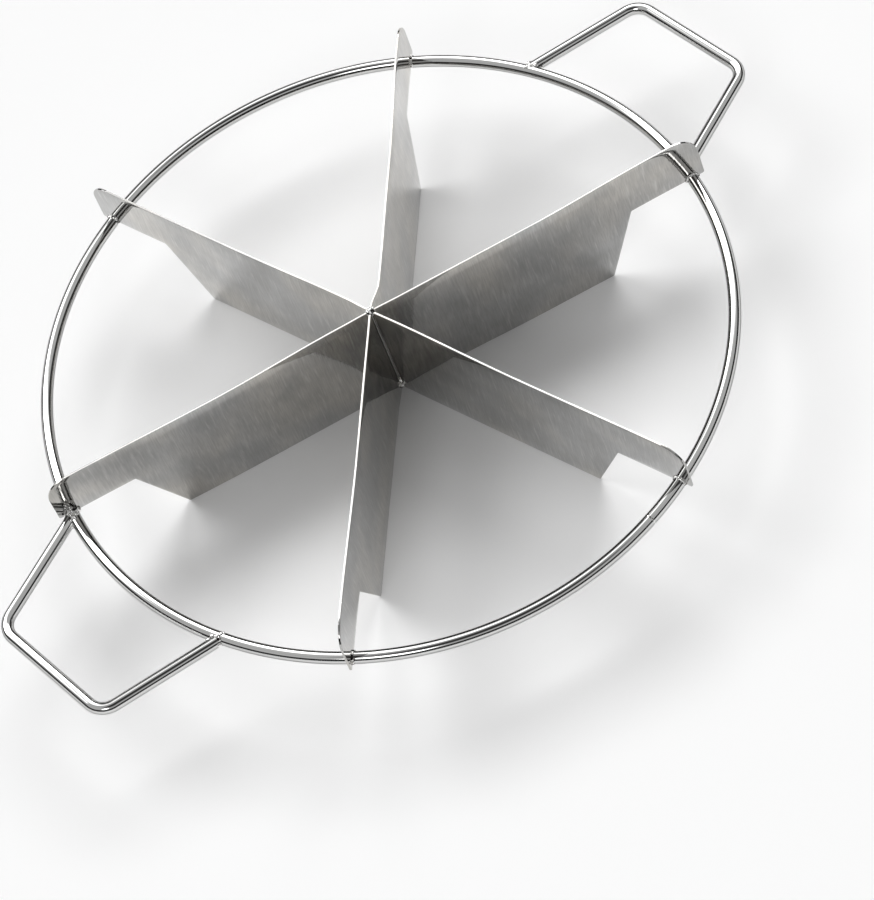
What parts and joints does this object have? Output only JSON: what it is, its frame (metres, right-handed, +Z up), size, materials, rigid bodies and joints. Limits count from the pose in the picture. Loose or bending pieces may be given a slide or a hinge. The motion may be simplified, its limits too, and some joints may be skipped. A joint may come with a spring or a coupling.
{
  "type": "cake portion marker",
  "caption": "Round steel wire ring with upright sheet blades that meet at a central hub, and a bent wire handle on each side, for pressing even portion lines into a round cake.",
  "frame": {"origin": "on the ring's axis, in the plane of the blades' lower edges", "axes": "+Z up along the ring's axis, +X along the line through the two handles"},
  "size_m": [0.3474, 0.2662, 0.0516],
  "materials": {
    "wire_steel": "polished drawn stainless wire",
    "blade_steel": "bright cold-rolled stainless sheet with a fine grain",
    "weld_steel": "cleaned weld metal"
  },
  "bodies": {
    "root": {"ring_wire": "wire_steel", "handle_right": "wire_steel", "handle_left": "wire_steel", "blade_strip_right": "blade_steel", "blade_strip_rear": "blade_steel", "blade_strip_left": "blade_steel", "ring_butt_weld": "weld_steel", "handle_right_weld_1": "weld_steel", "handle_right_weld_2": "weld_steel", "handle_left_weld_1": "weld_steel", "handle_left_weld_2": "weld_steel", "blade_weld_right_a_1": "weld_steel", "blade_weld_right_a_2": "weld_steel", "blade_weld_right_b_1": "weld_steel", "blade_weld_right_b_2": "weld_steel", "blade_weld_rear_a_1": "weld_steel", "blade_weld_rear_a_2": "weld_steel", "blade_weld_rear_b_1": "weld_steel", "blade_weld_rear_b_2": "weld_steel", "blade_weld_left_a_1": "weld_steel", "blade_weld_left_a_2": "weld_steel", "blade_weld_left_b_1": "weld_steel", "blade_weld_left_b_2": "weld_steel", "hub_weld_top": "weld_steel", "hub_weld_bottom": "weld_steel"}
  },
  "joints": []
}
